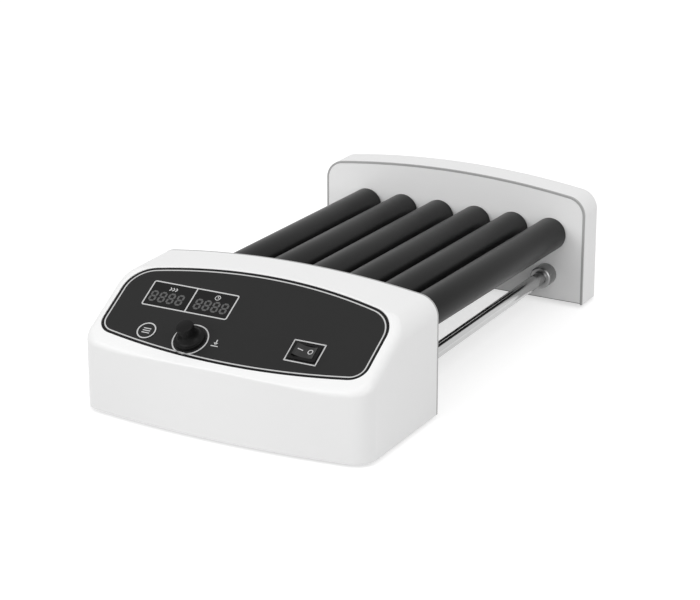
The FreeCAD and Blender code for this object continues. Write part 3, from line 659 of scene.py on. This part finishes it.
def make_digits():
    """Two groups of unlit seven-segment figures behind the window."""
    mesh = bmesh.new()
    middle = window_place[1] - digit_drop
    levels = [middle + k * (digit_height - segment_width) / 2 for k in (-1, 0, 1)]
    for left, right in digit_groups:
        pitch = (right - left - digit_width) / (digit_count - 1)
        for k in range(digit_count):
            x0 = window_place[0] + left + k * pitch + segment_width / 2
            x1 = x0 + digit_width - segment_width
            bars = [((x0, y), (x1, y)) for y in levels]
            bars += [((x, y0), (x, y1)) for x in (x0, x1) for y0, y1 in zip(levels, levels[1:])]
            for start, end in bars:
                trim = (Vector(end) - Vector(start)).normalized() * segment_gap
                ends = (Vector(start) + trim, Vector(end) - trim)
                raise_print(mesh, bar_face(mesh, *ends, segment_width, pointed=True), 0)
    lay_print(mesh, "digit_segments", "digit_grey", "display_window")


menu_bar_length = 7.0 * MM
menu_bar_pitch = 2.2 * MM


def make_button_print():
    """A ring and three bars, a plain menu mark."""
    mesh = bmesh.new()
    raise_print(mesh, ring_face(mesh, button_place, button_ring), line_width)
    for k in (-1, 0, 1):
        place = (button_place[0], button_place[1] + k * menu_bar_pitch)
        raise_print(mesh, box_face(mesh, place, (menu_bar_length, mark_width)), 0)
    lay_print(mesh, "button_mark", "print_light", "mode_button", button_proud)


mark_rise = 7.6 * MM
arrow_shift = -20.0 * MM
arrow_size = 1.6 * MM
arrow_pitch = 2.72 * MM
clock_shift = 22.5 * MM
clock_radius = 2.56 * MM
minute_hand = 1.76 * MM
hour_hand = 1.44 * MM
press_shift = 23.0 * MM
press_length = 4.8 * MM
press_foot_drop = 1.76 * MM
press_foot_half = 3.2 * MM


def lay_bars(mesh, pairs, width):
    """Print a straight bar between each pair of points."""
    for start, end in pairs:
        raise_print(mesh, bar_face(mesh, start, end, width), 0)


def make_pictograms():
    """Plain marks by the figures and the knob: arrows for speed, a clock for time, a press arrow."""
    mesh = bmesh.new()
    rise = window_place[1] + mark_rise
    for k in (-1, 0, 1):
        tip = (window_place[0] + arrow_shift + k * arrow_pitch + arrow_size, rise)
        tails = [(tip[0] - arrow_size, tip[1] + way * arrow_size) for way in (-1, 1)]
        lay_bars(mesh, [(tail, tip) for tail in tails], mark_width)
    clock = (window_place[0] + clock_shift, rise)
    raise_print(mesh, ring_face(mesh, clock, clock_radius, 40), fine_width)
    hands = [(clock[0], clock[1] + minute_hand), (clock[0] + hour_hand, clock[1])]
    lay_bars(mesh, [(clock, hand) for hand in hands], fine_width)
    press = (knob_place[0] + press_shift, knob_place[1])
    ends = [(press[0], press[1] + press_length)]
    ends += [(press[0] + way * arrow_size, press[1] + arrow_size) for way in (-1, 1)]
    lay_bars(mesh, [(press, end) for end in ends], mark_width)
    foot = [(press[0] + way * press_foot_half, press[1] - press_foot_drop) for way in (-1, 1)]
    lay_bars(mesh, [foot], mark_width)
    lay_print(mesh, "pictograms", "print_light", "control_overlay")


# The knob with its turned edges, and the rocker's two marks
knob_skirt = 12.5 * MM
knob_skirt_height = 2.6 * MM
knob_flare_foot = 11.5 * MM
knob_flare_top = 9.6 * MM
knob_grip = 7.3 * MM
knob_lip = 0.35 * MM
knob_cap_edge = 1.0 * MM
knob_cap_bend = 0.3 * MM
flare_steps = 10


def make_knob():
    """The black knob: a thin skirt, a hollow flare and a straight cap."""
    centre = panel @ Vector((*knob_place, 0.0))
    low, high = reach("control_knob", centre, panel_out)
    flare = []
    for k in range(flare_steps + 1):
        turn = math.pi / 2 * k / flare_steps
        radius = knob_flare_foot - (knob_flare_foot - knob_grip) * math.sin(turn)
        height = low + knob_flare_top - (knob_flare_top - knob_skirt_height) * math.cos(turn)
        flare.append((radius, height))
    outline = [(0.0, low), (knob_skirt, low), (knob_skirt, low + knob_skirt_height - knob_lip)]
    outline += [(knob_skirt - knob_lip, low + knob_skirt_height)] + flare
    outline += [(knob_grip, high - knob_cap_edge), (knob_grip - knob_cap_bend, high - knob_cap_bend)]
    outline += [(knob_grip - knob_cap_edge, high), (0.0, high)]
    mesh = bmesh.new()
    spin_profile(mesh, outline, along(centre, panel_out), steps=96, closed=False)
    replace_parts(new_piece("knob_body", mesh, "black_plastic", body_of["control_knob"]), "control_knob")


rocker_arc_radius = 19.49 * MM
rocker_arc_height = 23.09 * MM
rocker_turn = math.radians(7.0)
rocker_mark_lift = 0.08 * MM
rocker_mark_reach = 4.4 * MM
rocker_mark_shift = 0.6 * MM
rocker_ring_radius = 2.4 * MM
rocker_ring_line = 0.8 * MM
rocker_bar = (4.6 * MM, 0.9 * MM)


def on_rocker(mesh):
    """Bend flat marks, drawn about the rocker's middle, onto its hollow face."""
    pin = Vector(joints["power_rocker"]["pos_m"])
    turn = Matrix.Rotation(rocker_turn, 4, "Y")
    for vert in mesh.verts:
        lean = vert.co.x / rocker_arc_radius
        depth = rocker_arc_radius - vert.co.z
        vert.co = Vector((depth * math.sin(lean), vert.co.y, rocker_arc_height - depth * math.cos(lean)))
    frame_turn = panel.to_3x3().to_4x4()
    bmesh.ops.transform(mesh, matrix=Matrix.Translation(pin) @ frame_turn @ turn, verts=mesh.verts)


def make_rocker_marks():
    """The plain I and O of a power switch."""
    mesh = bmesh.new()
    ring_place = (rocker_mark_reach, rocker_mark_shift)
    bar_place = (-rocker_mark_reach, rocker_mark_shift)
    raise_print(mesh, ring_face(mesh, ring_place, rocker_ring_radius, 40), rocker_ring_line)
    raise_print(mesh, box_face(mesh, bar_place, rocker_bar), 0)
    bmesh.ops.translate(mesh, vec=(0, 0, rocker_mark_lift), verts=mesh.verts)
    on_rocker(mesh)
    new_piece("rocker_marks", mesh, "print_light", "switch_rocker", smooth=False)


# The front cover's crease: tight and close to the film in the middle, as the node has it at the corners
cover_wall = 2.5 * MM
front_bow = 11.0 * MM
crease_radius = 9.0 * MM
tight_radius = 3.0 * MM
crease_slide = 5.0 * MM
crease_full = 50.0 * MM
crease_end = 112.0 * MM
crease_slack = 0.15 * MM
depth_slack = 1.001
ball_steps = 8
cover_low, cover_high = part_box("front_cover")
crease_back = 0.5 * cover_low.y
bow_radius = (cover_high.x ** 2 + front_bow ** 2) / (2 * front_bow)


def fade(distance, full):
    """From 1 inside full down to 0 at the crease's end, with no step."""
    share = min(max((crease_end - distance) / (crease_end - full), 0.0), 1.0)
    return share ** 2 * (3 - 2 * share)


def ball_in_crease(point, depth, radius):
    """The middle of the round that a point lies on, the ways from there to the wall and to the point,
    and by how much the middle misses the place of a ball that rolls in the crease."""
    bend = math.acos(min((crease_radius - depth) / radius, 1.0))
    middle = point - panel_out * radius
    for _ in range(ball_steps):
        arm = Vector((middle.x, middle.y - cover_low.y - bow_radius, 0.0))
        wall = arm.normalized()
        angle = math.acos(wall.dot(panel_out))
        out = (panel_out * math.sin(angle - bend) + wall * math.sin(bend)) / math.sin(angle)
        middle = point - out * radius
    return middle, wall, out, abs(bow_radius - arm.length - crease_radius)


def draw_in_crease(mesh):
    """Tighten the crease between the panel and the front face, outside and inside the wall."""
    level = max(vert.co.dot(panel_out) for vert in mesh.verts)
    for vert in mesh.verts:
        depth = level - vert.co.dot(panel_out)
        share = fade(abs(vert.co.x), crease_full)
        for radius in (crease_radius, crease_radius - cover_wall):
            too_deep = abs(crease_radius - depth) > radius * depth_slack
            if not share or too_deep or vert.co.y > crease_back:
                continue
            middle, wall, out, misfit = ball_in_crease(vert.co, depth, radius)
            if misfit < crease_slack:
                saved = (crease_radius - tight_radius) * share
                meet = (panel_out + wall) / (1 + panel_out.dot(wall))
                slide = panel_up * crease_slide * fade(abs(vert.co.x), 0.0)
                vert.co = middle + meet * saved + slide + out * (radius - saved)
                break


# Pieces that keep their own shape, with smooth surfaces and softened edges
softened = (
    ("rear_cover", "rear_cover_shell", 0.0),
    # The seal strips' grey paints the shadow line of the gap round each end plate.
    ("front_seal", "front_seal_shade_strip", 0.0),
    ("rear_seal", "rear_seal_shade_strip", 0.0),
    ("front_end_plate", "front_plate_sheet", 0.0),
    ("rear_end_plate", "rear_plate_sheet", 0.0),
    ("power_switch_body", "switch_housing", 0.3 * MM),
    ("switch_rocker", "rocker_key", 0.25 * MM),
    ("power_inlet", "inlet_socket", 0.15 * MM),
    ("rear_bushes", "bush_flanges", 0.2 * MM),
    ("feet", "rubber_feet", 0.3 * MM),
)


def make_softened():
    soften("front_cover", "front_cover_shell", reshape=draw_in_crease)
    for node, name, edge in softened:
        soften(node, name, edge)


# Floor, light and background
floor_size = 12.0
floor_level = -0.2 * MM
floor_grey = 0.55
floor_glow = 0.62
world_light = 0.72
world_seen = 1.0
lamp_target = (0, 0, 0.05)
lamps = {
    "key": dict(place=(-1.0, -1.9, 1.1), target=lamp_target, size=(1.4, 1.0), power=17.5),
    "side": dict(place=(1.9, -0.7, 0.9), target=lamp_target, size=(1.0, 1.4), power=11.0),
    "top": dict(place=(0.2, -0.8, 1.9), target=(0, 0.1, 0.05), size=(1.6, 1.2), power=5.5),
}


def seen_by_camera(tree):
    """1 for what the camera sees, also in metal and through glass, and 0 for light on the object."""
    ray = tree.nodes.new("ShaderNodeLightPath")
    seen = combine(tree, "MAXIMUM", ray.outputs["Is Camera Ray"], ray.outputs["Is Glossy Ray"])
    return combine(tree, "MAXIMUM", seen, ray.outputs["Is Transmission Ray"])


def make_floor():
    """A grey floor that takes the shadow, with a glow for the camera that makes it white."""
    bpy.ops.mesh.primitive_plane_add(size=1)
    floor = bpy.context.object
    floor.name = "floor"
    floor.data.transform(Matrix.Diagonal((floor_size, floor_size, 1.0, 1.0)))
    floor.data.transform(Matrix.Translation((0, 0, floor_level)))
    material = bpy.data.materials.new("floor")
    material.use_nodes = True
    tree = material.node_tree
    shader = tree.nodes["Principled BSDF"]
    shader.inputs["Base Color"].default_value = (*grey(floor_grey), 1)
    shader.inputs["Roughness"].default_value = 0.9
    shader.inputs["Specular IOR Level"].default_value = 0.0
    glow = tree.nodes.new("ShaderNodeEmission")
    strength = combine(tree, "MULTIPLY", seen_by_camera(tree), floor_glow)
    tree.links.new(strength, glow.inputs["Strength"])
    both = tree.nodes.new("ShaderNodeAddShader")
    tree.links.new(shader.outputs["BSDF"], both.inputs[0])
    tree.links.new(glow.outputs["Emission"], both.inputs[1])
    tree.links.new(both.outputs["Shader"], tree.nodes["Material Output"].inputs["Surface"])
    floor.data.materials.append(material)


def make_world():
    """A white surround for the camera, which lights the object at a plain level."""
    world = bpy.data.worlds.new("studio")
    world.use_nodes = True
    bpy.context.scene.world = world
    tree = world.node_tree
    sky = tree.nodes["Background"]
    sky.inputs["Color"].default_value = (1, 1, 1, 1)
    strength = spread(tree, seen_by_camera(tree), world_light, world_seen)
    tree.links.new(strength, sky.inputs["Strength"])


def area_light(name, place, target, size, power):
    data = bpy.data.lights.new(name, "AREA")
    data.shape = "RECTANGLE"
    data.size, data.size_y = size
    data.energy = power
    lamp = bpy.data.objects.new(name, data)
    lamp.location = place
    lamp.rotation_euler = (Vector(target) - Vector(place)).to_track_quat("-Z", "Y").to_euler()
    bpy.context.scene.collection.objects.link(lamp)


def make_lights():
    for name, lamp in lamps.items():
        area_light(name, **lamp)


make_camera()
dress_frame()
make_rollers()
make_tie_rods()
make_collars()
make_softened()
make_film_print()
make_window_print()
make_digits()
make_button_print()
make_pictograms()
make_knob()
make_rocker_marks()
make_floor()
make_world()
make_lights()
bpy.context.scene.view_settings.view_transform = "Standard"
